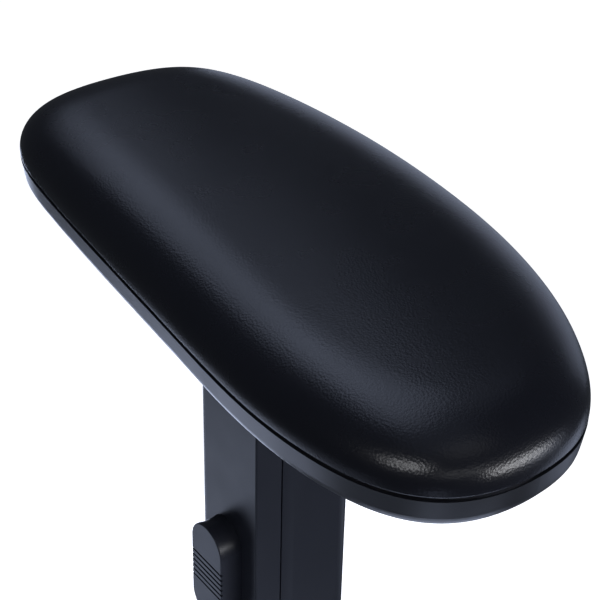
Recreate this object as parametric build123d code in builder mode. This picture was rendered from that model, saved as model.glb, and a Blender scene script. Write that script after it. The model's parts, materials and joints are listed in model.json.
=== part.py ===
from build123d import *
import math
import os

# Height-adjustable armrest of an office chair, for the sitter's right-hand side.
# Frame: origin at the centre of the seat bolts on the foot's top face, +X outboard, +Y forward, +Z up.
# The sleeve and the pad stand at their lowest setting. Every size is in millimetres.

# ---------------------------------------------------------------- driving dimensions

SEAM_Z = 265.0  # joint line between cushion and tray, above the seat bolts' face
BUTTON_Z = SEAM_Z - 129.0  # middle of the release button
TRAVEL = 60.0  # height adjustment
NOTCH_PITCH = 10.0  # height step
PRESS = 4.5  # button travel
RUN = 0.1  # running clearance of the sliding fits, on each side
STOP_GAP = 0.3  # space left at the end of the travel

# Pad: its outline runs clockwise from the front tip, (outboard, forward) from the pad's own centre.
PAD_OUTLINE = [
    (-3.0, 125.0),
    (35.0, 112.5),
    (48.0, 81.5),
    (51.5, 20.5),
    (50.0, -73.0),
    (39.0, -115.5),
    (1.5, -125.0),
    (-31.0, -117.5),
    (-54.0, -72.0),
    (-62.5, 0.0),
    (-55.0, 65.0),
    (-31.5, 111.0),
]
INSET_POINTS = 24  # points that an inset copy of the outline runs through
PAD_SHIFT_X = 2.7  # pad centre from the column's axis
PAD_SHIFT_Y = 8.0
PAD_YAW = 4.24  # degrees that the pad's front end turns outboard
CUSHION_HEIGHT = 21.2  # at the top of the crown
CUSHION_ROLL = 15.0
CROWN_ACROSS = 365.0  # radius of the crowned top, looking along the pad
CROWN_ALONG = 2000.0  # and looking across it
CROWN_SWEEP = 10.0  # degrees
CROWN_HALF_WIDTH = 80.0
BOARD_THICKNESS = 6.0
BOARD_INSET = 9.0

TRAY_DEPTH = 11.6
TRAY_WALL = 2.5
TRAY_ROUND = 5.0
TRAY_DRAFT = 8.0  # lean of the tray's flank, in degrees
SEAM_GAP = 0.8  # height of the dark line under the cushion
SEAM_DEPTH = 1.3
BOSS_RADIUS = 6.0
SMALL_BOSS_RADIUS = 3.6
TRAY_SCREW_SPOTS = [(32, 70), (-36, 70), (32, -76), (-36, -76), (2, 104), (2, -106)]

# Column: its sizes are taken about its own vertical axis.
COLUMN_X = 90.0
SLEEVE_X = 42.4
SLEEVE_Y = 35.8
SLEEVE_WALL = 3.0
SLEEVE_BOTTOM = 80.0
PARTING_X = 10.7  # plane where the two halves of the sleeve meet
EDGE_ROUND = 0.8  # front outboard corner
REAR_ROUND = 5.0  # rear outboard corner
BACK_ROUND = 6.0  # both inboard corners
SHOULDER_WIDTH = 6.0  # soft shoulder of the inner half along the parting plane
SHOULDER_DEPTH = 1.1
PARTING_SLOT_WIDTH = 1.4  # square groove between the shoulder and the outer half
PARTING_SLOT_DEPTH = 2.0

BAR_X = 10.0
BAR_Y = 18.0
BAR_BOTTOM = -2.0
BAR_TOP = BUTTON_Z + 107.5
NOTCH_DEPTH = 2.6
NOTCH_HEIGHT = 5.0

# Button and latch
BUTTON_WIDTH = 18.6
BUTTON_HEIGHT = 44.0
BUTTON_PROUD = 9.0
FACE_PLATE = 1.8
FACE_LIP = 0.4
BUTTON_GAP = 0.3
BUTTON_WALL = 2.0
GROOVE_COUNT = 6
GROOVE_PITCH = 2.42
GROOVE_WIDTH = 0.9
GROOVE_DEPTH = 0.7
FORK_PLATE = 1.5
FORK_MARGIN = 2.0
LEG_THICKNESS = 1.8
LEG_HEIGHT = 12.0
LEG_GAP = 0.8  # between the bar's side and a leg
LEAF_THICKNESS = 1.0
LEAF_GAP = 1.2  # between the bar's notched face and the leaf
LEAF_RELIEF = 1.0
LEAF_STRIP = 10.0
LEAF_HEAD_Y = 24.0
LEAF_HEAD_Z = 22.0
LEAF_TOP = BUTTON_Z + 71.0
TOOTH_Y = 16.0
TOOTH_HEIGHT = 4.4
TOOTH_REACH = 3.5

# Glides, ribs and blocks inside the sleeve
LOWER_GLIDE_TOP = 92.0
END_RING = 3.0
END_CHAMFER = 0.6
UPPER_GLIDE_BOTTOM = BUTTON_Z + 24.5
UPPER_GLIDE_TOP = BUTTON_Z + 37.0
RIB_WIDTH = 3.9
RIB_HEIGHT = 8.0
RIB_LEVELS = [BUTTON_Z - 33.0, BUTTON_Z + 41.0, BUTTON_Z + 79.0]
LEDGE_HEIGHT = 4.5
BLOCK_Y = 14.0
BLOCK_BOTTOM = BUTTON_Z + 55.0
LEAF_SCREW_LEVELS = [BUTTON_Z + 59.0, BUTTON_Z + 67.0]
SLEEVE_SCREW_GRIP = 4.0  # length that a sleeve screw holds in the outer half

# T-shaped head
FLANGE_X = 46.0
FLANGE_Y = 80.0
FLANGE_THICKNESS = 5.0
FLANGE_CORNER = 9.0
PLUG_HEIGHT = 22.0
WINDOW_LOW_X = -6.5
WINDOW_HIGH_X = 9.0
WINDOW_Y = 20.0
PAD_SCREW_X = 24.0
PAD_SCREW_Y = 60.0
HEAD_SCREW_SPACING = 14.0
HEAD_SCREW_DROP = 11.0  # from the sleeve's top edge down to the head's screws

# Bracket under the seat
PLATE = 5.0
FOOT_LOW_X = -46.0
FOOT_WIDTH = 58.0
FOOT_CORNER = 8.0
NECK_START_X = 46.0
NECK_END_X = 70.0
LEG_WIDTH = 26.0
LEG_TOP = 64.0
BEND_INNER = 3.0
SLOT_SPACING_X = 52.0
SLOT_SPACING_Y = 36.0
SLOT_LENGTH = 20.0
SLOT_WIDTH = 6.8
UPRIGHT_BOLT_LEVELS = [14.0, 50.0]

# Shroud
COVER_LOW_X = -16.0
COVER_HIGH_X = 13.0
COVER_Y = 32.0
COVER_BOTTOM = -9.0
COVER_TOP = 72.0
COVER_WALL = 2.0
COVER_ROUND = 4.0
COVER_SCREW_Z = 32.0

# Fasteners: shank radius, head radius, head height
SMALL_SHANK = 1.5
SMALL_HEAD = 2.8
SMALL_HEAD_HEIGHT = 1.8
M4_SHANK = 2.0
M4_HEAD = 3.0
M4_HEAD_HEIGHT = 2.2
M6_SHANK = 3.0
M6_HEAD = 5.0
M6_HEAD_HEIGHT = 4.0
M6_HEX = 10.0  # across flats
WASHER_THICKNESS = 1.5
WASHER_RADIUS = 6.0
HOLE_GAP = 0.1
SLOT_DEPTH = 0.9  # drive recess of a small screw

# ---------------------------------------------------------------- derived places

SLEEVE_TOP = SEAM_Z - TRAY_DEPTH - FLANGE_THICKNESS
HEAD_SCREW_Z = SLEEVE_TOP - HEAD_SCREW_DROP
CAVITY_X = SLEEVE_X / 2 - SLEEVE_WALL
CAVITY_Y = SLEEVE_Y / 2 - SLEEVE_WALL
BAR_FACE = BAR_X / 2
LEAF_NEAR_X = -BAR_FACE - LEAF_GAP
LEAF_FAR_X = LEAF_NEAR_X - LEAF_THICKNESS
RIB_Y = CAVITY_Y - RIB_WIDTH / 2
SLEEVE_SCREW_Y = 13.0
SEAT_X = -SLEEVE_X / 2 + 2.0  # where the heads of the sleeve's screws sit
BUTTON_BODY_WIDTH = BUTTON_WIDTH - 2 * FACE_LIP
BUTTON_BODY_HEIGHT = BUTTON_HEIGHT - 2 * FACE_LIP
BUTTON_FACE_X = SLEEVE_X / 2 + BUTTON_PROUD
FORK_NEAR_X = CAVITY_X - FORK_PLATE
NOTCH_COUNT = round(TRAVEL / NOTCH_PITCH) + 1
STOP_SCREW_Z = UPPER_GLIDE_TOP + TRAVEL + STOP_GAP + M4_HEAD

os.makedirs("parts", exist_ok=True)


def column_plane(z):
    """Level plane centred on the column's axis."""
    return Plane(origin=(COLUMN_X, 0, z))


def side_plane(x, z=0.0, y=0.0):
    """Plane across the column at x from its axis: its own x runs forward and its own y runs up."""
    return Plane(origin=(COLUMN_X + x, y, z), x_dir=(0, 1, 0), z_dir=(1, 0, 0))


def pad_plane(height):
    """Level plane of the pad at a height above the seam, turned by the pad's yaw."""
    yaw = math.radians(PAD_YAW)
    centre = (COLUMN_X + PAD_SHIFT_X, PAD_SHIFT_Y, SEAM_Z + height)
    return Plane(origin=centre, x_dir=(math.cos(yaw), -math.sin(yaw), 0), z_dir=(0, 0, 1))


def inset_outline(inset):
    """Points of the pad's outline moved inwards by the inset, square to the outline."""
    with BuildLine() as outline:
        Spline(*PAD_OUTLINE, periodic=True)
    points = []
    for step in range(INSET_POINTS):
        spot = outline.line @ (step / INSET_POINTS)
        along = outline.line % (step / INSET_POINTS)
        points.append((spot.X + inset * along.Y, spot.Y - inset * along.X))
    return points


def pad_slab(low, high, inset=0.0, bottom_round=0.0, draft=0.0):
    """Slab with the pad's outline between two heights above the seam, narrower below if drafted."""
    points = inset_outline(inset) if inset else PAD_OUTLINE
    with BuildPart() as slab:
        with BuildSketch(pad_plane(high if draft else low)):
            with BuildLine():
                Spline(*points, periodic=True)
            make_face()
        if draft:
            extrude(amount=low - high, taper=draft)
        else:
            extrude(amount=high - low)
        if bottom_round:
            fillet(slab.faces().sort_by(Axis.Z)[0].edges(), radius=bottom_round)
    return slab.part


def crown_block():
    """Block whose top is the cushion's crown: one shallow arc swept along another."""
    top = pad_plane(CUSHION_HEIGHT)
    section = Plane(origin=top.origin, x_dir=top.x_dir, z_dir=-top.y_dir)
    hub = Axis(top.origin - Vector(0, 0, CROWN_ALONG), top.x_dir)
    edge_drop = CROWN_ACROSS - math.sqrt(CROWN_ACROSS**2 - CROWN_HALF_WIDTH**2)
    left = (-CROWN_HALF_WIDTH, -edge_drop)
    right = (CROWN_HALF_WIDTH, -edge_drop)
    with BuildPart() as crown:
        with BuildSketch(section):
            with BuildLine():
                ThreePointArc(left, (0, 0), right)
                low_right = (CROWN_HALF_WIDTH, -2 * CUSHION_HEIGHT)
                low_left = (-CROWN_HALF_WIDTH, -2 * CUSHION_HEIGHT)
                Polyline(right, low_right, low_left, left)
            make_face()
        revolve(axis=hub, revolution_arc=CROWN_SWEEP)
    return crown.part.rotate(hub, -CROWN_SWEEP / 2)


def box_between(x_span, y_span, z_span):
    """Plain block between three pairs of limits, with x taken from the column's axis."""
    with BuildPart() as block:
        with BuildSketch(column_plane(z_span[0])):
            with Locations(((x_span[0] + x_span[1]) / 2, (y_span[0] + y_span[1]) / 2)):
                Rectangle(x_span[1] - x_span[0], y_span[1] - y_span[0])
        extrude(amount=z_span[1] - z_span[0])
    return block.part


def screw(start, length, shank, head, head_height):
    """Slotted pan-head screw on its plane: the head's seat is on the plane, the shank runs along +z."""
    with BuildPart() as body:
        with BuildSketch(start):
            Circle(head)
        extrude(amount=-head_height)
        fillet(body.faces().sort_by(Axis(start.origin, start.z_dir))[0].edges(), radius=head_height / 4)
        with BuildSketch(start):
            Circle(shank)
        extrude(amount=length)
        with BuildSketch(start.offset(-head_height)):
            Rectangle(head * 1.5, head / 3)
            Rectangle(head / 3, head * 1.5)
        extrude(amount=SLOT_DEPTH, mode=Mode.SUBTRACT)
    return body.part


def stadium(plane, width, height, depth):
    """Round-ended block standing upright on a plane across the column."""
    with BuildPart() as block:
        with BuildSketch(plane):
            SlotOverall(height, width, rotation=90)
        extrude(amount=depth)
    return block.part


def save(builder, name):
    builder.part.label = name
    export_step(builder.part, "parts/" + name + ".step")


# ---------------------------------------------------------------- pad

board_slab = pad_slab(0, BOARD_THICKNESS, inset=BOARD_INSET)

with BuildPart() as pad_cushion:
    add(pad_slab(0, CUSHION_HEIGHT))
    add(crown_block(), mode=Mode.INTERSECT)
    fillet(pad_cushion.faces().sort_by(Axis.Z)[-1].edges(), radius=CUSHION_ROLL)
    add(board_slab, mode=Mode.SUBTRACT)
save(pad_cushion, "pad_cushion")

TEE_FLANGE = 1.2
TEE_FLANGE_RADIUS = 8.0
TEE_BARREL_RADIUS = 4.0

with BuildPart() as pad_board:
    add(board_slab)
    with BuildSketch(column_plane(SEAM_Z)):
        with GridLocations(PAD_SCREW_X, PAD_SCREW_Y, 2, 2):
            Circle(TEE_BARREL_RADIUS + HOLE_GAP)
    extrude(amount=BOARD_THICKNESS, mode=Mode.SUBTRACT)
    with BuildSketch(column_plane(SEAM_Z + BOARD_THICKNESS - TEE_FLANGE)):
        with GridLocations(PAD_SCREW_X, PAD_SCREW_Y, 2, 2):
            Circle(TEE_FLANGE_RADIUS + HOLE_GAP)
    extrude(amount=TEE_FLANGE, mode=Mode.SUBTRACT)
    with BuildSketch(pad_plane(0)):
        with Locations(*TRAY_SCREW_SPOTS):
            Circle(SMALL_SHANK + HOLE_GAP / 2)
    extrude(amount=BOARD_THICKNESS - 1, mode=Mode.SUBTRACT)
save(pad_board, "pad_board")

with BuildPart() as tee_nuts:
    with BuildSketch(column_plane(SEAM_Z)):
        with GridLocations(PAD_SCREW_X, PAD_SCREW_Y, 2, 2):
            Circle(TEE_BARREL_RADIUS)
    extrude(amount=BOARD_THICKNESS)
    with BuildSketch(column_plane(SEAM_Z + BOARD_THICKNESS - TEE_FLANGE)):
        with GridLocations(PAD_SCREW_X, PAD_SCREW_Y, 2, 2):
            Circle(TEE_FLANGE_RADIUS)
    extrude(amount=TEE_FLANGE)
    with BuildSketch(column_plane(SEAM_Z)):
        with GridLocations(PAD_SCREW_X, PAD_SCREW_Y, 2, 2):
            Circle(M6_SHANK + HOLE_GAP)
    extrude(amount=BOARD_THICKNESS, mode=Mode.SUBTRACT)
save(tee_nuts, "tee_nuts")

# The tray is a shallow shell. Its thin lip meets the cushion and leaves the seam's shadow gap outside.
tray_outside = pad_slab(-TRAY_DEPTH, -SEAM_GAP, bottom_round=TRAY_ROUND, draft=TRAY_DRAFT)
tray_lip = pad_slab(-SEAM_GAP * 2, 0, inset=SEAM_DEPTH)
cavity_round = TRAY_ROUND - TRAY_WALL
tray_cavity = pad_slab(TRAY_WALL - TRAY_DEPTH, 0, TRAY_WALL, cavity_round, TRAY_DRAFT)

with BuildPart() as pad_tray:
    add(tray_outside)
    add(tray_lip)
    add(tray_cavity, mode=Mode.SUBTRACT)
    with BuildSketch(column_plane(SEAM_Z - TRAY_DEPTH + TRAY_WALL / 2)):
        with GridLocations(PAD_SCREW_X, PAD_SCREW_Y, 2, 2):
            Circle(BOSS_RADIUS)
    extrude(amount=TRAY_DEPTH - TRAY_WALL / 2)
    with BuildSketch(pad_plane(-TRAY_DEPTH + TRAY_WALL / 2)):
        with Locations(*TRAY_SCREW_SPOTS):
            Circle(SMALL_BOSS_RADIUS)
    extrude(amount=TRAY_DEPTH - TRAY_WALL / 2)
    with BuildSketch(column_plane(SEAM_Z - TRAY_DEPTH)):
        with GridLocations(PAD_SCREW_X, PAD_SCREW_Y, 2, 2):
            Circle(M6_SHANK + HOLE_GAP)
    extrude(amount=TRAY_DEPTH, mode=Mode.SUBTRACT)
    with BuildSketch(pad_plane(-TRAY_DEPTH)):
        with Locations(*TRAY_SCREW_SPOTS):
            Circle(SMALL_SHANK + HOLE_GAP)
    extrude(amount=TRAY_DEPTH, mode=Mode.SUBTRACT)
    with BuildSketch(pad_plane(-TRAY_DEPTH)):
        with Locations(*TRAY_SCREW_SPOTS):
            Circle(SMALL_HEAD + HOLE_GAP)
    extrude(amount=SMALL_HEAD_HEIGHT, mode=Mode.SUBTRACT)
save(pad_tray, "pad_tray")

with BuildPart() as tray_screws:
    for spot in TRAY_SCREW_SPOTS:
        seat = Plane(pad_plane(SMALL_HEAD_HEIGHT - TRAY_DEPTH).from_local_coords(Vector(*spot)))
        add(screw(seat, TRAY_DEPTH - SMALL_HEAD_HEIGHT + 4.0, SMALL_SHANK, SMALL_HEAD, SMALL_HEAD_HEIGHT))
save(tray_screws, "tray_screws")

# ---------------------------------------------------------------- T-shaped head

with BuildPart() as head_casting:
    with BuildSketch(column_plane(SLEEVE_TOP)):
        RectangleRounded(FLANGE_X, FLANGE_Y, FLANGE_CORNER)
    extrude(amount=FLANGE_THICKNESS)
    with BuildSketch(column_plane(SLEEVE_TOP)):
        Rectangle(2 * (CAVITY_X - HOLE_GAP), 2 * (CAVITY_Y - HOLE_GAP))
    extrude(amount=-PLUG_HEIGHT)
    with BuildSketch(column_plane(SLEEVE_TOP)):
        with Locations(((WINDOW_LOW_X + WINDOW_HIGH_X) / 2, 0)):
            Rectangle(WINDOW_HIGH_X - WINDOW_LOW_X, WINDOW_Y)
    extrude(amount=-PLUG_HEIGHT, mode=Mode.SUBTRACT)
    with BuildSketch(column_plane(SLEEVE_TOP)):
        with GridLocations(PAD_SCREW_X, PAD_SCREW_Y, 2, 2):
            Circle(M6_SHANK + HOLE_GAP)
    extrude(amount=FLANGE_THICKNESS, mode=Mode.SUBTRACT)
    with BuildSketch(side_plane(-CAVITY_X, HEAD_SCREW_Z)):
        with GridLocations(HEAD_SCREW_SPACING, 0, 2, 1):
            Circle(SMALL_SHANK + HOLE_GAP / 2)
    extrude(amount=CAVITY_X + WINDOW_LOW_X, mode=Mode.SUBTRACT)
save(head_casting, "head_casting")

with BuildPart() as pad_washers:
    with BuildSketch(column_plane(SLEEVE_TOP)):
        with GridLocations(PAD_SCREW_X, PAD_SCREW_Y, 2, 2):
            Circle(WASHER_RADIUS)
            Circle(M6_SHANK + HOLE_GAP, mode=Mode.SUBTRACT)
    extrude(amount=-WASHER_THICKNESS)
save(pad_washers, "pad_washers")

with BuildPart() as pad_screws:
    for spot in GridLocations(PAD_SCREW_X, PAD_SCREW_Y, 2, 2).local_locations:
        seat = Plane(column_plane(SLEEVE_TOP - WASHER_THICKNESS).from_local_coords(spot.position))
        length = SEAM_Z + BOARD_THICKNESS - SLEEVE_TOP
        add(screw(seat, length, M6_SHANK, M6_HEAD, M6_HEAD_HEIGHT))
save(pad_screws, "pad_screws")

# ---------------------------------------------------------------- sleeve

# Outer form of the closed sleeve: a sharp front corner outboard, softer corners elsewhere, and a
# shoulder and groove on both faces of the inner half where it meets the outer half.
with BuildPart() as sleeve_form:
    with BuildSketch(column_plane(SLEEVE_BOTTOM)):
        Rectangle(SLEEVE_X, SLEEVE_Y)
    extrude(amount=SLEEVE_TOP - SLEEVE_BOTTOM)
    uprights = sleeve_form.edges().filter_by(Axis.Z).sort_by(Axis.X)
    fillet(uprights[:2], radius=BACK_ROUND)
    uprights = sleeve_form.edges().filter_by(Axis.Z).sort_by(Axis.X)[-2:].sort_by(Axis.Y)
    fillet(uprights[0], radius=REAR_ROUND)
    uprights = sleeve_form.edges().filter_by(Axis.Z).sort_by(Axis.X)[-2:].sort_by(Axis.Y)
    fillet(uprights[-1], radius=EDGE_ROUND)

with BuildPart() as shoulder_cut:
    with BuildSketch(column_plane(SLEEVE_BOTTOM)):
        with BuildLine():
            slot_x = PARTING_X - PARTING_SLOT_WIDTH
            slot_y = SLEEVE_Y / 2 - PARTING_SLOT_DEPTH
            flush = (PARTING_X - SHOULDER_WIDTH, SLEEVE_Y / 2)
            sunk = (slot_x, SLEEVE_Y / 2 - SHOULDER_DEPTH)
            TangentArc(flush, sunk, tangent=(1, 0))
            Polyline(sunk, (slot_x, slot_y), (PARTING_X, slot_y), (PARTING_X, SLEEVE_Y / 2), flush)
        make_face()
        mirror(about=Plane.XZ)
    extrude(amount=SLEEVE_TOP - SLEEVE_BOTTOM)

sleeve_cavity = box_between((-CAVITY_X, CAVITY_X), (-CAVITY_Y, CAVITY_Y), (SLEEVE_BOTTOM, SLEEVE_TOP))
outer_side = box_between((PARTING_X, SLEEVE_X), (-SLEEVE_Y, SLEEVE_Y), (SLEEVE_BOTTOM, SLEEVE_TOP))


def rib_blocks(low_x, high_x, levels, height):
    """Screw ribs on both side walls of the sleeve's cavity, centred on the given levels."""
    with BuildPart() as ribs:
        for level in levels:
            with BuildSketch(column_plane(level - height / 2)):
                for side in (-1, 1):
                    with Locations(((low_x + high_x) / 2, side * RIB_Y)):
                        Rectangle(high_x - low_x, RIB_WIDTH)
            extrude(amount=height)
    return ribs.part


def sleeve_holes(radius, start_x, depth):
    """Holes along +X at the places of the screws that close the sleeve."""
    with BuildPart() as holes:
        for level in RIB_LEVELS:
            with BuildSketch(side_plane(start_x, level)):
                with GridLocations(2 * SLEEVE_SCREW_Y, 0, 2, 1):
                    Circle(radius)
            extrude(amount=depth)
    return holes.part


with BuildPart() as sleeve_outer_half:
    add(sleeve_form.part)
    add(sleeve_cavity, mode=Mode.SUBTRACT)
    add(outer_side, mode=Mode.INTERSECT)
    add(rib_blocks(PARTING_X, CAVITY_X, RIB_LEVELS, RIB_HEIGHT))
    add(sleeve_holes(SMALL_SHANK + HOLE_GAP / 2, PARTING_X, SLEEVE_SCREW_GRIP + 1), mode=Mode.SUBTRACT)
    opening_width = BUTTON_BODY_WIDTH + 2 * BUTTON_GAP
    opening_height = BUTTON_BODY_HEIGHT + 2 * BUTTON_GAP
    opening = stadium(side_plane(CAVITY_X, BUTTON_Z), opening_width, opening_height, SLEEVE_WALL)
    add(opening, mode=Mode.SUBTRACT)
save(sleeve_outer_half, "sleeve_outer_half")

block_span_y = (-BLOCK_Y / 2, BLOCK_Y / 2)
leaf_block = box_between((-CAVITY_X, LEAF_FAR_X), block_span_y, (BLOCK_BOTTOM, LEAF_TOP))

with BuildPart() as sleeve_inner_half:
    add(sleeve_form.part)
    add(shoulder_cut.part, mode=Mode.SUBTRACT)
    add(sleeve_cavity, mode=Mode.SUBTRACT)
    add(outer_side, mode=Mode.SUBTRACT)
    add(rib_blocks(-CAVITY_X, PARTING_X, RIB_LEVELS, RIB_HEIGHT))
    add(rib_blocks(-CAVITY_X, PARTING_X, [UPPER_GLIDE_BOTTOM - LEDGE_HEIGHT / 2], LEDGE_HEIGHT))
    add(leaf_block)
    add(sleeve_holes(SMALL_SHANK + HOLE_GAP, SEAT_X, SLEEVE_X), mode=Mode.SUBTRACT)
    add(sleeve_holes(SMALL_HEAD + HOLE_GAP, -SLEEVE_X / 2, 2.0), mode=Mode.SUBTRACT)
    for level in LEAF_SCREW_LEVELS:
        with BuildSketch(side_plane(-SLEEVE_X / 2, level)):
            Circle(SMALL_SHANK + HOLE_GAP)
        extrude(amount=SLEEVE_X / 2, mode=Mode.SUBTRACT)
        with BuildSketch(side_plane(-SLEEVE_X / 2, level)):
            Circle(SMALL_HEAD + HOLE_GAP)
        extrude(amount=2.0, mode=Mode.SUBTRACT)
    with BuildSketch(side_plane(-SLEEVE_X / 2, HEAD_SCREW_Z)):
        with GridLocations(HEAD_SCREW_SPACING, 0, 2, 1):
            Circle(SMALL_SHANK + HOLE_GAP)
    extrude(amount=SLEEVE_WALL, mode=Mode.SUBTRACT)
    with BuildSketch(side_plane(-SLEEVE_X / 2, HEAD_SCREW_Z)):
        with GridLocations(HEAD_SCREW_SPACING, 0, 2, 1):
            Circle(SMALL_HEAD + HOLE_GAP)
    extrude(amount=2.0, mode=Mode.SUBTRACT)
save(sleeve_inner_half, "sleeve_inner_half")

with BuildPart() as sleeve_screws:
    for level in RIB_LEVELS:
        for side in (-1, 1):
            seat = side_plane(SEAT_X, level, side * SLEEVE_SCREW_Y)
            length = PARTING_X + SLEEVE_SCREW_GRIP - SEAT_X
            add(screw(seat, length, SMALL_SHANK, SMALL_HEAD, SMALL_HEAD_HEIGHT))
save(sleeve_screws, "sleeve_screws")

with BuildPart() as head_screws:
    for side in (-1, 1):
        seat = side_plane(SEAT_X, HEAD_SCREW_Z, side * HEAD_SCREW_SPACING / 2)
        add(screw(seat, WINDOW_LOW_X - SEAT_X - 1, SMALL_SHANK, SMALL_HEAD, SMALL_HEAD_HEIGHT))
save(head_screws, "head_screws")

with BuildPart() as leaf_screws:
    for level in LEAF_SCREW_LEVELS:
        seat = side_plane(SEAT_X, level)
        add(screw(seat, LEAF_NEAR_X - SEAT_X, SMALL_SHANK, SMALL_HEAD, SMALL_HEAD_HEIGHT))
save(leaf_screws, "leaf_screws")

# ---------------------------------------------------------------- glides

with BuildPart() as upper_glide:
    height = UPPER_GLIDE_TOP - UPPER_GLIDE_BOTTOM
    with BuildSketch(column_plane(UPPER_GLIDE_BOTTOM)):
        Rectangle(2 * (CAVITY_X - HOLE_GAP), 2 * (CAVITY_Y - HOLE_GAP))
        Rectangle(BAR_X + 2 * RUN, BAR_Y + 2 * RUN, mode=Mode.SUBTRACT)
        with Locations(((LEAF_FAR_X - PRESS - BAR_FACE) / 2, 0)):
            Rectangle(BAR_FACE - LEAF_FAR_X - LEAF_RELIEF, LEAF_STRIP + 1, mode=Mode.SUBTRACT)
    extrude(amount=height)
save(upper_glide, "upper_glide")

with BuildPart() as lower_glide:
    with BuildSketch(column_plane(SLEEVE_BOTTOM)):
        Rectangle(2 * (CAVITY_X - HOLE_GAP), 2 * (CAVITY_Y - HOLE_GAP))
    extrude(amount=LOWER_GLIDE_TOP - SLEEVE_BOTTOM)
    extrude(sleeve_form.faces().sort_by(Axis.Z)[0], amount=END_RING)
    chamfer(lower_glide.faces().sort_by(Axis.Z)[0].edges(), length=END_CHAMFER)
    with BuildSketch(column_plane(SLEEVE_BOTTOM - END_RING)):
        Rectangle(BAR_X + 2 * RUN, BAR_Y + 2 * RUN)
    extrude(amount=LOWER_GLIDE_TOP - SLEEVE_BOTTOM + END_RING, mode=Mode.SUBTRACT)
save(lower_glide, "lower_glide")

# ---------------------------------------------------------------- button and latch

# The cap is a long round-ended shell. Its face plate overlaps the sleeve's opening slightly.
with BuildPart() as button_cap:
    body_plane = side_plane(CAVITY_X, BUTTON_Z)
    body_depth = BUTTON_FACE_X - CAVITY_X
    plate_plane = side_plane(BUTTON_FACE_X - FACE_PLATE, BUTTON_Z)
    add(stadium(body_plane, BUTTON_BODY_WIDTH, BUTTON_BODY_HEIGHT, body_depth))
    add(stadium(plate_plane, BUTTON_WIDTH, BUTTON_HEIGHT, FACE_PLATE))
    fillet(button_cap.faces().sort_by(Axis.X)[-1].edges(), radius=FACE_LIP)
    pocket_width = BUTTON_BODY_WIDTH - 2 * BUTTON_WALL
    pocket_height = BUTTON_BODY_HEIGHT - 2 * BUTTON_WALL
    pocket = stadium(body_plane, pocket_width, pocket_height, body_depth - BUTTON_WALL)
    add(pocket, mode=Mode.SUBTRACT)
    with BuildSketch(body_plane):
        Circle(SMALL_BOSS_RADIUS)
    extrude(amount=body_depth - BUTTON_WALL / 2)
    with BuildSketch(body_plane):
        Circle(SMALL_SHANK + HOLE_GAP / 2)
    extrude(amount=body_depth - BUTTON_WALL, mode=Mode.SUBTRACT)
    with BuildSketch(side_plane(BUTTON_FACE_X, BUTTON_Z)):
        with GridLocations(0, GROOVE_PITCH, 1, GROOVE_COUNT):
            Rectangle(BUTTON_WIDTH * 2, GROOVE_WIDTH)
    extrude(amount=-GROOVE_DEPTH, mode=Mode.SUBTRACT)
save(button_cap, "button_cap")

# The fork is one steel pressing: a round-ended plate behind the cap and two legs that pass the bar.
with BuildPart() as button_fork:
    fork_width = BUTTON_BODY_WIDTH + 2 * FORK_MARGIN
    fork_height = BUTTON_BODY_HEIGHT + 2 * FORK_MARGIN
    add(stadium(side_plane(FORK_NEAR_X, BUTTON_Z), fork_width, fork_height, FORK_PLATE))
    leg_low_x = LEAF_NEAR_X + 0.2
    leg_low_y = BAR_Y / 2 + LEG_GAP
    leg_span_z = (BUTTON_Z - LEG_HEIGHT / 2, BUTTON_Z + LEG_HEIGHT / 2)
    for side in (-1, 1):
        leg_span_y = sorted((side * leg_low_y, side * (leg_low_y + LEG_THICKNESS)))
        add(box_between((leg_low_x, CAVITY_X - FORK_PLATE / 2), leg_span_y, leg_span_z))
    with BuildSketch(side_plane(FORK_NEAR_X, BUTTON_Z)):
        Circle(SMALL_SHANK + HOLE_GAP)
    extrude(amount=FORK_PLATE, mode=Mode.SUBTRACT)
save(button_fork, "button_fork")

with BuildPart() as fork_screw:
    add(screw(side_plane(FORK_NEAR_X, BUTTON_Z), 10.0, SMALL_SHANK, SMALL_HEAD, SMALL_HEAD_HEIGHT))
save(fork_screw, "fork_screw")

# Spring-steel leaf: a strip held at its top, a wide head for the fork's legs, and the tooth.
with BuildPart() as latch_leaf:
    leaf_span_x = (LEAF_FAR_X, LEAF_NEAR_X)
    head_top = BUTTON_Z + LEAF_HEAD_Z / 2
    add(box_between(leaf_span_x, (-LEAF_STRIP / 2, LEAF_STRIP / 2), (head_top, LEAF_TOP)))
    head_span_z = (BUTTON_Z - LEAF_HEAD_Z / 2, head_top)
    add(box_between(leaf_span_x, (-LEAF_HEAD_Y / 2, LEAF_HEAD_Y / 2), head_span_z))
    tooth_span_z = (BUTTON_Z - TOOTH_HEIGHT / 2, BUTTON_Z + TOOTH_HEIGHT / 2)
    add(box_between((LEAF_NEAR_X, LEAF_NEAR_X + TOOTH_REACH), (-TOOTH_Y / 2, TOOTH_Y / 2), tooth_span_z))
    for level in LEAF_SCREW_LEVELS:
        with BuildSketch(side_plane(LEAF_FAR_X, level)):
            Circle(SMALL_SHANK + HOLE_GAP / 2)
        extrude(amount=LEAF_THICKNESS, mode=Mode.SUBTRACT)
save(latch_leaf, "latch_leaf")

# ---------------------------------------------------------------- upright

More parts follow.
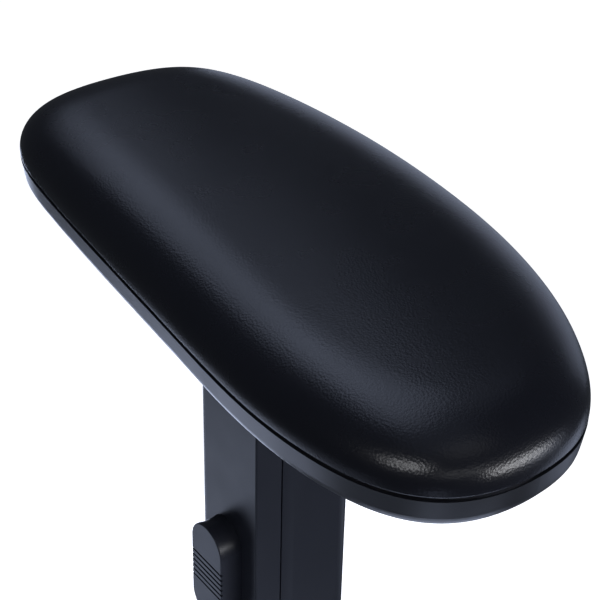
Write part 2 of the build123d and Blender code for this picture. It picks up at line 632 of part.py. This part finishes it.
bar_span_y = (-BAR_Y / 2, BAR_Y / 2)
with BuildPart() as upright_bar:
    add(box_between((-BAR_FACE, BAR_FACE), bar_span_y, (BAR_BOTTOM, BAR_TOP)))
    chamfer(upright_bar.faces().sort_by(Axis.Z)[-1].edges(), length=1)
    for step in range(NOTCH_COUNT):
        middle = BUTTON_Z + step * NOTCH_PITCH
        notch_span_z = (middle - NOTCH_HEIGHT / 2, middle + NOTCH_HEIGHT / 2)
        notch = box_between((-BAR_FACE, NOTCH_DEPTH - BAR_FACE), bar_span_y, notch_span_z)
        add(notch, mode=Mode.SUBTRACT)
    for level in UPRIGHT_BOLT_LEVELS:
        with BuildSketch(side_plane(-BAR_FACE, level)):
            Circle(M6_SHANK + HOLE_GAP)
        extrude(amount=BAR_X, mode=Mode.SUBTRACT)
    for level in (COVER_SCREW_Z, STOP_SCREW_Z):
        with BuildSketch(side_plane(0, level)):
            Circle(M4_SHANK + HOLE_GAP / 2)
        extrude(amount=BAR_FACE, mode=Mode.SUBTRACT)
save(upright_bar, "upright_bar")


def outboard_screw(x, level, length, shank, head, head_height):
    """Screw that goes in from the outboard side, towards -X."""
    seat = Plane(origin=(COLUMN_X + x, 0, level), x_dir=(0, 1, 0), z_dir=(-1, 0, 0))
    return screw(seat, length, shank, head, head_height)


with BuildPart() as stop_screw:
    add(outboard_screw(BAR_FACE, STOP_SCREW_Z, BAR_FACE - 0.5, M4_SHANK, M4_HEAD, M4_HEAD_HEIGHT))
save(stop_screw, "stop_screw")

with BuildPart() as upright_bolts:
    for level in UPRIGHT_BOLT_LEVELS:
        add(outboard_screw(BAR_FACE, level, BAR_X + PLATE + 6.5, M6_SHANK, M6_HEAD, M6_HEAD_HEIGHT))
save(upright_bolts, "upright_bolts")

with BuildPart() as upright_nuts:
    for level in UPRIGHT_BOLT_LEVELS:
        with BuildSketch(side_plane(-BAR_FACE - PLATE, level)):
            RegularPolygon(M6_HEX / 2, 6, major_radius=False)
            Circle(M6_SHANK + HOLE_GAP, mode=Mode.SUBTRACT)
        extrude(amount=-PLATE)
save(upright_nuts, "upright_nuts")

# ---------------------------------------------------------------- bracket under the seat

leg_x = COLUMN_X - BAR_FACE - PLATE
with BuildPart() as mount_bracket:
    with BuildSketch(Plane.XZ):
        with BuildLine():
            FilletPolyline(
                (FOOT_LOW_X, -PLATE / 2),
                (leg_x + PLATE / 2, -PLATE / 2),
                (leg_x + PLATE / 2, LEG_TOP),
                radius=BEND_INNER + PLATE / 2,
            )
            offset(amount=PLATE / 2, side=Side.BOTH)
        make_face()
    extrude(amount=FOOT_WIDTH / 2, both=True)
    with BuildSketch(Plane.XY.offset(-PLATE)):
        with BuildLine():
            Polyline(
                (FOOT_LOW_X, FOOT_WIDTH / 2),
                (NECK_START_X, FOOT_WIDTH / 2),
                (NECK_END_X, LEG_WIDTH / 2),
                (COLUMN_X, LEG_WIDTH / 2),
                (COLUMN_X, -LEG_WIDTH / 2),
                (NECK_END_X, -LEG_WIDTH / 2),
                (NECK_START_X, -FOOT_WIDTH / 2),
                (FOOT_LOW_X, -FOOT_WIDTH / 2),
                close=True,
            )
        make_face()
    extrude(amount=LEG_TOP + PLATE, mode=Mode.INTERSECT)
    fillet(mount_bracket.edges().filter_by(Axis.Z).group_by(Axis.X)[0], radius=FOOT_CORNER)
    fillet(mount_bracket.edges().filter_by(Axis.X).group_by(Axis.Z)[-1], radius=1)
    with BuildSketch(Plane.XY.offset(-PLATE)):
        with GridLocations(SLOT_SPACING_X, SLOT_SPACING_Y, 2, 2):
            SlotOverall(SLOT_LENGTH, SLOT_WIDTH)
    extrude(amount=PLATE, mode=Mode.SUBTRACT)
    for level in UPRIGHT_BOLT_LEVELS:
        with BuildSketch(side_plane(-BAR_FACE - PLATE, level)):
            Circle(M6_SHANK + HOLE_GAP)
        extrude(amount=PLATE, mode=Mode.SUBTRACT)
save(mount_bracket, "mount_bracket")

# Shroud: open towards the seat, with a window in its roof for the bar.
cover_inner_y = COVER_Y / 2 - COVER_WALL
with BuildPart() as bracket_cover:
    cover_span_y = (-COVER_Y / 2, COVER_Y / 2)
    add(box_between((COVER_LOW_X, COVER_HIGH_X), cover_span_y, (COVER_BOTTOM, COVER_TOP)))
    fillet(bracket_cover.faces().sort_by(Axis.X)[-1].edges(), radius=COVER_ROUND)
    hollow_x = (COVER_LOW_X, COVER_HIGH_X - COVER_WALL)
    hollow_z = (COVER_BOTTOM + COVER_WALL, COVER_TOP - COVER_WALL)
    add(box_between(hollow_x, (-cover_inner_y, cover_inner_y), hollow_z), mode=Mode.SUBTRACT)
    window_x = (-BAR_FACE - HOLE_GAP, BAR_FACE + HOLE_GAP)
    window_y = (-BAR_Y / 2 - HOLE_GAP, BAR_Y / 2 + HOLE_GAP)
    add(box_between(window_x, window_y, (COVER_TOP - COVER_WALL, COVER_TOP)), mode=Mode.SUBTRACT)
    with BuildSketch(side_plane(BAR_FACE, COVER_SCREW_Z)):
        Circle(SMALL_BOSS_RADIUS)
    extrude(amount=COVER_HIGH_X - BAR_FACE - COVER_WALL / 2)
    with BuildSketch(side_plane(BAR_FACE, COVER_SCREW_Z)):
        Circle(M4_SHANK + HOLE_GAP)
    extrude(amount=COVER_HIGH_X, mode=Mode.SUBTRACT)
save(bracket_cover, "bracket_cover")

with BuildPart() as cover_screw:
    cover_grip = COVER_HIGH_X - 0.5
    add(outboard_screw(COVER_HIGH_X, COVER_SCREW_Z, cover_grip, M4_SHANK, M4_HEAD, M4_HEAD_HEIGHT))
save(cover_screw, "cover_screw")
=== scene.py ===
"""Looks of a height-adjustable chair armrest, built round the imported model. Lengths are in metres."""

import json
import math

import bpy
import numpy as np
from mathutils import Matrix, Vector


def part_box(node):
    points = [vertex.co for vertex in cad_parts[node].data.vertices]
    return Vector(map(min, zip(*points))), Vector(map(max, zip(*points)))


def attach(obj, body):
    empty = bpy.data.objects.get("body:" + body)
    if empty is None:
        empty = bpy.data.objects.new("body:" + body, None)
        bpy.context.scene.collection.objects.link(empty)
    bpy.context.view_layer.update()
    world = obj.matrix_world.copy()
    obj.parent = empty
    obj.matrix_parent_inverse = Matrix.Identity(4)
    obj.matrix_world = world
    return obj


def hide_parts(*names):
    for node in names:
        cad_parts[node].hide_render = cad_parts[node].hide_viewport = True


MM = 0.001

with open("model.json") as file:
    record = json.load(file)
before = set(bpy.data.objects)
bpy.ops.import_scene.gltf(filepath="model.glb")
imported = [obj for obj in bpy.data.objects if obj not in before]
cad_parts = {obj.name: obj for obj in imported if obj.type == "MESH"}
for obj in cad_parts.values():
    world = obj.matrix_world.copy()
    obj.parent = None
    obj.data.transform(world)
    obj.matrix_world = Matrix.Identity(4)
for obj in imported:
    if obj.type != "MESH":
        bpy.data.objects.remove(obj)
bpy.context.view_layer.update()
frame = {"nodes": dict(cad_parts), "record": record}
nodes = frame["nodes"]

# ---------------------------------------------------------------- camera

VIEW_AZIMUTH = 143.0  # degrees; 0 looks along +Y
VIEW_ELEVATION = 34.2
VIEW_ROLL = 1.32
VIEW_DISTANCE = 520.7 * MM
LENS = 97.7  # on a 36 mm sensor
AIM_SHIFT = Vector((4.8, 8.8, -10.95)) * MM  # from the middle of the pad at its seam


def seam_middle():
    """Middle of the pad in plan, at the height where cushion and tray meet."""
    low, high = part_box("pad_cushion")
    return Vector(((low[0] + high[0]) / 2, (low[1] + high[1]) / 2, low[2]))


def make_camera():
    """Camera on a line back from the pad, tilted by a small roll."""
    azimuth = math.radians(VIEW_AZIMUTH)
    elevation = math.radians(VIEW_ELEVATION)
    back = Vector((
        math.sin(azimuth) * math.cos(elevation),
        -math.cos(azimuth) * math.cos(elevation),
        math.sin(elevation),
    ))
    data = bpy.data.cameras.new("photo_camera")
    data.lens = LENS
    data.clip_start = 10 * MM
    camera = bpy.data.objects.new("photo_camera", data)
    bpy.context.scene.collection.objects.link(camera)
    turn = (-back).to_track_quat("-Z", "Y").to_matrix().to_4x4()
    roll = Matrix.Rotation(math.radians(VIEW_ROLL), 4, "Z")
    place = Matrix.Translation(seam_middle() + AIM_SHIFT + back * VIEW_DISTANCE)
    camera.matrix_world = place @ turn @ roll
    bpy.context.scene.camera = camera


# ---------------------------------------------------------------- studio

FLOOR_DROP = 0.45  # the floor under a chair, below the seat's underside
FLOOR_HUB = 0.02  # radius of the small disc at the floor's centre
FLOOR_RADIUS = 5.0
COVE_RADIUS = 1.5
COVE_TOP = 6.0
COVE_STEPS = 10
COVE_SIDES = 96


def make_floor(material):
    """Plain pale floor that curves up into a wall all round. Only the camera sees it."""
    profile = [(FLOOR_HUB, 0.0), (FLOOR_RADIUS, 0.0)]
    for step in range(1, COVE_STEPS + 1):
        angle = math.pi / 2 * step / COVE_STEPS
        out = FLOOR_RADIUS + COVE_RADIUS * math.sin(angle)
        profile.append((out, COVE_RADIUS * (1 - math.cos(angle))))
    profile.append((FLOOR_RADIUS + COVE_RADIUS, COVE_TOP))
    turns = [2 * math.pi * side / COVE_SIDES for side in range(COVE_SIDES)]
    points = [(r * math.cos(a), r * math.sin(a), z) for r, z in profile for a in turns]
    faces = [tuple(range(COVE_SIDES))]
    for level in range(len(profile) - 1):
        for i in range(COVE_SIDES):
            j = (i + 1) % COVE_SIDES
            low, high = level * COVE_SIDES, (level + 1) * COVE_SIDES
            faces.append((low + i, low + j, high + j, high + i))
    mesh = bpy.data.meshes.new("studio_floor")
    mesh.from_pydata(points, [], faces)
    mesh.materials.append(material)
    floor = bpy.data.objects.new("studio_floor", mesh)
    floor.location.z = -FLOOR_DROP
    bpy.context.scene.collection.objects.link(floor)
    floor.visible_diffuse = False
    floor.visible_glossy = False
    floor.visible_shadow = False


WORLD_COLOUR = (0.8, 0.88, 1.0)
WORLD_STRENGTH = 0.055
LAMP_DISTANCE = 1.0
LUMINANCE = (0.2126, 0.7152, 0.0722)  # share of each colour channel in brightness
COOL = (0.66, 0.75, 1.0)
NEUTRAL = (0.96, 0.97, 1.0)
SOFTBOXES = [  # name, azimuth from +Y towards +X, elevation, size, brightness, tone
    ("key", 182, 47, (0.42, 0.6), 0.78, COOL),
    ("key_far", 194, 30, (0.35, 0.25), 0.3, COOL),
    ("key_high", 200, 64, (0.5, 0.4), 0.65, COOL),
    ("key_top", 165, 76, (0.4, 0.35), 0.7, COOL),
    ("key_side", 208, 46, (0.35, 0.5), 0.25, COOL),
    ("inboard_high", 238, 58, (0.5, 0.4), 0.15, COOL),
    ("front", 58, 29, (0.42, 0.16), 7.0, NEUTRAL),
    ("front_high", 0, 55, (0.5, 0.4), 0.25, NEUTRAL),
    ("rim", 338, 2, (0.55, 0.18), 10.5, NEUTRAL),
    ("front_arc", 12, 16, (0.7, 0.16), 1.0, NEUTRAL),
    ("rim_low", 322, -4, (0.4, 0.4), 0.8, COOL),
    ("rim_back", 240, -4, (1.0, 0.5), 0.45, COOL),
    ("overhead", 20, 80, (0.8, 0.8), 0.12, COOL),
    ("under", 143, -46, (0.6, 0.4), 1.0, COOL),
    ("under_side", 100, -42, (0.6, 0.5), 0.2, COOL),
    ("under_back", 205, -42, (0.7, 0.6), 2.6, COOL),
    ("back_low", 226, -30, (0.7, 0.5), 0.22, COOL),
    ("inboard_low", 292, -34, (0.5, 0.4), 0.8, COOL),
    ("front_low", 32, -32, (0.25, 0.2), 0.5, COOL),
    ("bottom", 0, -80, (0.8, 0.8), 1.3, COOL),
]


def softbox(name, azimuth, elevation, size, brightness, tone):
    """Rectangular lamp facing the pad, with its brightness kept apart from its tone."""
    data = bpy.data.lights.new(name, "AREA")
    data.shape = "RECTANGLE"
    data.size, data.size_y = size
    data.color = tone
    data.energy = brightness * math.pi * size[0] * size[1] / Vector(tone).dot(LUMINANCE)
    lamp = bpy.data.objects.new(name, data)
    around, up = math.radians(azimuth), math.radians(elevation)
    aim = Vector((math.sin(around) * math.cos(up), math.cos(around) * math.cos(up), math.sin(up)))
    lamp.location = seam_middle() + aim * LAMP_DISTANCE
    lamp.rotation_mode = "QUATERNION"
    lamp.rotation_quaternion = aim.to_track_quat("Z", "Y")
    lamp.visible_camera = False
    bpy.context.scene.collection.objects.link(lamp)


def make_world(colour, strength):
    world = bpy.data.worlds.new("studio")
    world.use_nodes = True
    background = world.node_tree.nodes["Background"]
    background.inputs["Color"].default_value = (*colour, 1)
    background.inputs["Strength"].default_value = strength
    bpy.context.scene.world = world


# ---------------------------------------------------------------- materials


class Shader:
    """Small helper round one Principled material and its nodes."""

    def __init__(self, name):
        self.material = bpy.data.materials.new(name)
        self.material.use_nodes = True
        self.tree = self.material.node_tree
        self.surface = self.tree.nodes["Principled BSDF"]
        coordinates = self.tree.nodes.new("ShaderNodeTexCoord")
        self.place = coordinates.outputs["Object"]

    def set(self, **values):
        for socket, value in values.items():
            self.surface.inputs[socket.replace("_", " ")].default_value = value

    def node(self, kind, **inputs):
        made = self.tree.nodes.new(kind)
        for socket, value in inputs.items():
            slot = made.inputs[socket.replace("_", " ")]
            if isinstance(value, bpy.types.NodeSocket):
                self.tree.links.new(value, slot)
            else:
                slot.default_value = value
        return made

    def stretched(self, scale):
        """Object coordinates scaled differently along each axis."""
        made = self.node("ShaderNodeVectorMath", Vector=self.place)
        made.operation = "MULTIPLY"
        made.inputs[1].default_value = scale
        return made.outputs["Vector"]

    def noise(self, scale, detail=2.0, roughness=0.5, place=None):
        made = self.node(
            "ShaderNodeTexNoise",
            Vector=place or self.place,
            Scale=scale,
            Detail=detail,
            Roughness=roughness,
        )
        return made.outputs["Fac"]

    def cells(self, scale):
        return self.node("ShaderNodeTexVoronoi", Vector=self.place, Scale=scale).outputs["Distance"]

    def edges(self, width):
        """1 where the surface turns sharply, 0 on flat ground."""
        straight = self.tree.nodes.new("ShaderNodeNewGeometry").outputs["Normal"]
        rounded = self.tree.nodes.new("ShaderNodeBevel")
        rounded.samples = 4
        rounded.inputs["Radius"].default_value = width
        turn = self.node("ShaderNodeVectorMath")
        turn.operation = "DOT_PRODUCT"
        self.tree.links.new(straight, turn.inputs[0])
        self.tree.links.new(rounded.outputs["Normal"], turn.inputs[1])
        return self.spread(turn.outputs["Value"], 1.0, 0.0, start=0.72, end=0.98)

    def spread(self, value, low, high, start=0.0, end=1.0):
        """Maps start..end to low..high."""
        made = self.node("ShaderNodeMapRange", Value=value, To_Min=low, To_Max=high)
        made.inputs["From Min"].default_value = start
        made.inputs["From Max"].default_value = end
        return made.outputs["Result"]

    def times(self, first, second):
        made = self.tree.nodes.new("ShaderNodeMath")
        made.operation = "MULTIPLY"
        self.tree.links.new(first, made.inputs[0])
        self.tree.links.new(second, made.inputs[1])
        return made.outputs["Value"]

    def tint(self, value, dark, light):
        """Colour between two others, each a triple or another tint."""
        made = self.tree.nodes.new("ShaderNodeMix")
        made.data_type = "RGBA"
        self.tree.links.new(value, made.inputs["Factor"])
        colours = [socket for socket in made.inputs if socket.type == "RGBA"]
        for socket, colour in zip(colours, (dark, light)):
            if isinstance(colour, bpy.types.NodeSocket):
                self.tree.links.new(colour, socket)
            else:
                socket.default_value = (*colour, 1)
        return next(socket for socket in made.outputs if socket.type == "RGBA")

    def link(self, output, socket):
        self.tree.links.new(output, self.surface.inputs[socket])

    def bump(self, height, strength, distance, below=None):
        inputs = {"Height": height, "Strength": strength, "Distance": distance}
        if below is not None:
            inputs["Normal"] = below
        return self.node("ShaderNodeBump", **inputs).outputs["Normal"]


def shades(colour, spread):
    """A darker and a lighter version of a colour."""
    return [c * (1 - spread) for c in colour], [c * (1 + spread) for c in colour]


def moulded_plastic(name, colour, roughness, grain, depth, specular=0.5):
    """Spark-eroded texture with slight flow patches and edges rubbed a little lighter."""
    shader = Shader(name)
    shader.set(Specular_IOR_Level=specular)
    dark, light = shades(colour, 0.12)
    body = shader.tint(shader.noise(35, 4), dark, light)
    rubbed = shader.times(shader.edges(0.5 * MM), shader.noise(220, 3))
    shader.link(shader.tint(rubbed, body, [c * 1.9 for c in colour]), "Base Color")
    shader.link(shader.spread(shader.noise(80, 5), roughness - 0.05, roughness + 0.05), "Roughness")
    shader.link(shader.bump(shader.noise(grain, 2), depth, 0.06 * MM), "Normal")
    return shader.material


def coated_steel(name, colour, roughness, worn):
    """Powder coat with orange peel, worn through to bare metal along its edges."""
    shader = Shader(name)
    dark, light = shades(colour, 0.15)
    coat = shader.tint(shader.noise(50, 5), dark, light)
    wear = shader.spread(
        shader.times(shader.edges(0.6 * MM), shader.noise(260, 5, 0.7)), 0.0, 1.0, start=0.3, end=0.6
    )
    shader.link(shader.tint(wear, coat, worn), "Base Color")
    shader.link(shader.spread(wear, 0.0, 0.9), "Metallic")
    shader.link(shader.spread(shader.noise(120, 4), roughness - 0.06, roughness + 0.08), "Roughness")
    shader.link(shader.bump(shader.noise(520, 1), 0.25, 0.08 * MM), "Normal")
    return shader.material


def bare_metal(name, colour, roughness, grain=(40, 40, 900), depth=0.12):
    """Metal with the fine directional marks of rolling or turning."""
    shader = Shader(name)
    shader.set(Metallic=1.0)
    dark, light = shades(colour, 0.14)
    marks = shader.noise(1.0, 3, place=shader.stretched(grain))
    shader.link(shader.tint(marks, dark, light), "Base Color")
    shader.link(shader.spread(shader.noise(150, 4), roughness - 0.06, roughness + 0.1), "Roughness")
    shader.link(shader.bump(marks, depth, 0.05 * MM), "Normal")
    return shader.material


def cast_metal(name, colour, roughness):
    """Die casting under a thin coat: a pebbled skin with brighter rubbed edges."""
    shader = Shader(name)
    shader.set(Metallic=0.55)
    dark, light = shades(colour, 0.2)
    body = shader.tint(shader.noise(90, 5), dark, light)
    rubbed = shader.times(shader.edges(0.7 * MM), shader.noise(300, 4))
    shader.link(shader.tint(rubbed, body, (0.42, 0.42, 0.43)), "Base Color")
    shader.link(shader.spread(shader.noise(200, 4), roughness - 0.08, roughness + 0.1), "Roughness")
    shader.link(shader.bump(shader.cells(900), 0.3, 0.1 * MM), "Normal")
    return shader.material


SKIN_DARK = (0.0072, 0.0078, 0.0125)
SKIN_LIGHT = (0.0098, 0.0106, 0.0165)
SKIN_ROUGHNESS = 0.27


def cushion_skin():
    """Satin polyurethane skin: fine pebbled grain over soft unevenness of the foam below."""
    shader = Shader("cushion_skin")
    shader.set(Specular_IOR_Level=0.5)
    shader.link(shader.tint(shader.noise(25, 4), SKIN_DARK, SKIN_LIGHT), "Base Color")
    patches = shader.spread(shader.noise(45, 5), SKIN_ROUGHNESS - 0.03, SKIN_ROUGHNESS + 0.03)
    shader.link(patches, "Roughness")
    foam = shader.bump(shader.noise(28, 2), 0.15, 0.5 * MM)
    pebbles = shader.bump(shader.cells(1400), 0.4, 0.1 * MM, below=foam)
    shader.link(shader.bump(shader.noise(2400, 2), 0.22, 0.05 * MM, below=pebbles), "Normal")
    return shader.material


def floor_paint():
    """Near-white paint, lit from within so that it stays plain behind the object."""
    shader = Shader("floor_paint")
    shader.link(shader.tint(shader.noise(3, 3), (0.86, 0.86, 0.86), (0.88, 0.88, 0.88)), "Base Color")
    shader.set(Roughness=0.8, Specular_IOR_Level=0.2, Emission_Color=(1, 1, 1, 1), Emission_Strength=1.0)
    return shader.material


FINISHES = {
    "tray_plastic": moulded_plastic("tray_plastic", (0.016, 0.017, 0.022), 0.33, 2300, 0.12, 0.6),
    "sleeve_plastic": moulded_plastic("sleeve_plastic", (0.017, 0.019, 0.028), 0.38, 2100, 0.14, 0.35),
    "button_plastic": moulded_plastic("button_plastic", (0.02, 0.022, 0.032), 0.4, 2500, 0.14, 0.35),
    "cover_plastic": moulded_plastic("cover_plastic", (0.024, 0.025, 0.031), 0.46, 1500, 0.3),
    "glide_plastic": moulded_plastic("glide_plastic", (0.045, 0.045, 0.05), 0.3, 3000, 0.04),
    "board_plastic": moulded_plastic("board_plastic", (0.11, 0.11, 0.108), 0.6, 700, 0.5),
    "cast_alloy": cast_metal("cast_alloy", (0.05, 0.05, 0.055), 0.45),
    "painted_steel": coated_steel("painted_steel", (0.018, 0.018, 0.02), 0.4, (0.35, 0.34, 0.33)),
    "bar_steel": coated_steel("bar_steel", (0.028, 0.028, 0.031), 0.34, (0.46, 0.45, 0.44)),
    "spring_steel": bare_metal("spring_steel", (0.36, 0.37, 0.39), 0.27),
    "bright_steel": bare_metal("bright_steel", (0.56, 0.56, 0.54), 0.3, grain=(300, 300, 300)),
    "zinc_black": bare_metal("zinc_black", (0.06, 0.06, 0.064), 0.36, grain=(700, 700, 700), depth=0.2),
}


def dress(node, material):
    """Gives a CAD node its finish."""
    slots = nodes[node].data.materials
    slots.clear()
    slots.append(material)
    for face in nodes[node].data.polygons:
        face.material_index = 0


# ---------------------------------------------------------------- cushion

OUTLINE_POINTS = 320
OUTLINE_WAVES = 14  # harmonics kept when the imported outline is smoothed
PAD_YAW = math.radians(4.24)
CROWN_HEIGHT = 21.3 * MM
SIDE_DROP = 2.9 * MM  # fall of the crown at CROWN_HALF_WIDTH
CROWN_HALF_WIDTH = 46 * MM
END_DROP = 3.9 * MM  # fall of the crown at CROWN_HALF_LENGTH
CROWN_HALF_LENGTH = 125 * MM
ROLL_WIDTH = 27.5 * MM
ROLL_POWER = 2.35
LIP_RADIUS = 1.1 * MM
LIP_RINGS = 6
BASE_SHARES = (0.35, 0.7, 0.9)  # rings of the flat underside, as shares of the outline
BODY_RINGS = 96


def convex_outline(points):
    """Corner points of the convex hull, anticlockwise."""
    ordered = sorted(set(map(tuple, points)))
    sides = []
    for run in (ordered, ordered[::-1]):
        side = []
        for point in run:
            while len(side) > 1:
                (ax, ay), (bx, by) = side[-2], side[-1]
                if (bx - ax) * (point[1] - ay) - (by - ay) * (point[0] - ax) > 0:
                    break
                side.pop()
            side.append(point)
        sides += side[:-1]
    return np.array(sides)


def smooth_outline(node):
    """The node's outline in plan as evenly spaced points on a smooth closed curve."""
    plan = np.array([v.co[:2] for v in nodes[node].data.vertices]).round(6)
    hull = convex_outline(plan)
    closed = np.vstack([hull, hull[:1]])
    steps = np.linalg.norm(np.diff(closed, axis=0), axis=1)
    along = np.concatenate([[0], np.cumsum(steps)])
    even = np.linspace(0, along[-1], OUTLINE_POINTS, endpoint=False)
    ring = np.interp(even, along, closed[:, 0]) + 1j * np.interp(even, along, closed[:, 1])
    waves = np.fft.fft(ring)
    waves[OUTLINE_WAVES + 1 : -OUTLINE_WAVES] = 0
    ring = np.fft.ifft(waves)
    return np.stack([ring.real, ring.imag], axis=1)


def outward(ring):
    """Outward normals of a closed anticlockwise ring of points."""
    along = np.roll(ring, -1, axis=0) - np.roll(ring, 1, axis=0)
    normal = np.stack([along[:, 1], -along[:, 0]], axis=1)
    return normal / np.linalg.norm(normal, axis=1)[:, None]


def edge_distance(points, outline):
    """Distance of each point from the closed outline."""
    ends = np.roll(outline, -1, axis=0)
    span = ends - outline
    offset = points[:, None, :] - outline[None, :, :]
    share = (offset * span).sum(axis=2) / (span * span).sum(axis=1)
    nearest = offset - np.clip(share, 0, 1)[:, :, None] * span
    return np.sqrt((nearest * nearest).sum(axis=2)).min(axis=1)


def cushion_height(points, outline, centre):
    """Height of the skin above the seam: a rolled edge under a crown that falls to sides and ends."""
    offset = points - centre
    across = offset[:, 0] * math.cos(PAD_YAW) - offset[:, 1] * math.sin(PAD_YAW)
    along = offset[:, 0] * math.sin(PAD_YAW) + offset[:, 1] * math.cos(PAD_YAW)
    side_fall = SIDE_DROP * (across / CROWN_HALF_WIDTH) ** 2
    end_fall = END_DROP * (along / CROWN_HALF_LENGTH) ** 2
    crown = CROWN_HEIGHT - side_fall - end_fall - LIP_RADIUS
    inward = np.clip(edge_distance(points, outline) / ROLL_WIDTH, 0, 1)
    return LIP_RADIUS + crown * (1 - (1 - inward) ** ROLL_POWER) ** (1 / ROLL_POWER)


def lathe(name, rings, bottom, top):
    """Closed mesh from a stack of equal rings, closed with a fan at each end."""
    count = len(rings[0])
    points = [tuple(p) for ring in rings for p in ring]
    points += [tuple(bottom), tuple(top)]
    faces = []
    for level in range(len(rings) - 1):
        for i in range(count):
            j = (i + 1) % count
            low, high = level * count, (level + 1) * count
            faces.append((low + i, low + j, high + j, high + i))
    last = (len(rings) - 1) * count
    for i in range(count):
        j = (i + 1) % count
        faces.append((len(points) - 2, j, i))
        faces.append((last + i, last + j, len(points) - 1))
    mesh = bpy.data.meshes.new(name)
    mesh.from_pydata(points, [], faces)
    mesh.validate()
    for face in mesh.polygons:
        face.use_smooth = True
    piece = bpy.data.objects.new(name, mesh)
    bpy.context.scene.collection.objects.link(piece)
    return piece


def make_cushion(material):
    """Rings from the flat underside round the lip and the rolled edge to the top of the crown."""
    outline = smooth_outline("pad_cushion")
    normal = outward(outline)
    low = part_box("pad_cushion")[0][2]
    centre = outline.mean(axis=0)
    rings = []
    for share in BASE_SHARES:
        plan = centre + (outline - centre) * share
        rings.append(np.column_stack([plan, np.full(len(plan), low)]))
    for step in range(LIP_RINGS + 1):
        angle = math.pi / 2 * (step / LIP_RINGS - 1)
        plan = outline - normal * LIP_RADIUS * (1 - math.cos(angle))
        height = LIP_RADIUS * (1 + math.sin(angle))
        rings.append(np.column_stack([plan, np.full(len(plan), low + height)]))
    for step in range(1, BODY_RINGS):
        share = math.cos(math.pi / 2 * step / BODY_RINGS)
        plan = centre + (outline - centre) * share
        rings.append(np.column_stack([plan, low + cushion_height(plan, outline, centre)]))
    peak = low + cushion_height(centre[None, :], outline, centre)[0]
    cushion = lathe("cushion", rings, (*centre, low), (*centre, peak))
    cushion.data.materials.append(material)
    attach(cushion, "arm")
    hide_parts("pad_cushion")


# ---------------------------------------------------------------- putting it together

make_camera()
make_cushion(cushion_skin())
for part in frame["record"]["subparts"]:
    if part["material_slot"] in FINISHES:
        dress(part["node"], FINISHES[part["material_slot"]])

bpy.context.scene.view_settings.view_transform = "Standard"
make_floor(floor_paint())
make_world(WORLD_COLOUR, WORLD_STRENGTH)
for lamp in SOFTBOXES:
    softbox(*lamp)
